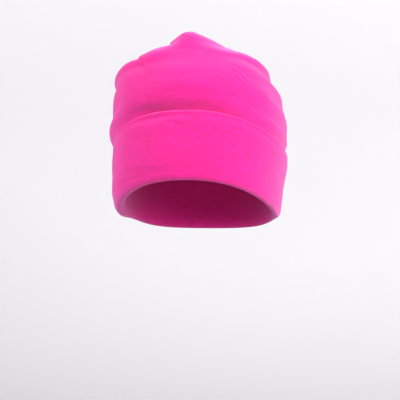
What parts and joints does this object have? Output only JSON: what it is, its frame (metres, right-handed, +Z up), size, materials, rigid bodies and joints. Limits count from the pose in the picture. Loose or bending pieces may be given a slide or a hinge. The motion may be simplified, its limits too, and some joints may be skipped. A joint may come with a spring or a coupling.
{
  "type": "cuffed beanie",
  "caption": "Slouchy jersey beanie in its worn shape, with a hollow pointed crown and a wide turned-up cuff.",
  "frame": {"origin": "middle of the head opening, on the head's vertical axis, where the head meets the band", "axes": "+Z up along the head, -Y the way the wearer faces, +X the wearer's left, which is on the right in a front view"},
  "size_m": [0.1839, 0.2145, 0.2066],
  "materials": {
    "jersey": "matte hot pink slub jersey with a soft bloom at grazing angles"
  },
  "bodies": {
    "root": {"crown": "jersey", "cuff": "jersey"}
  },
  "joints": []
}
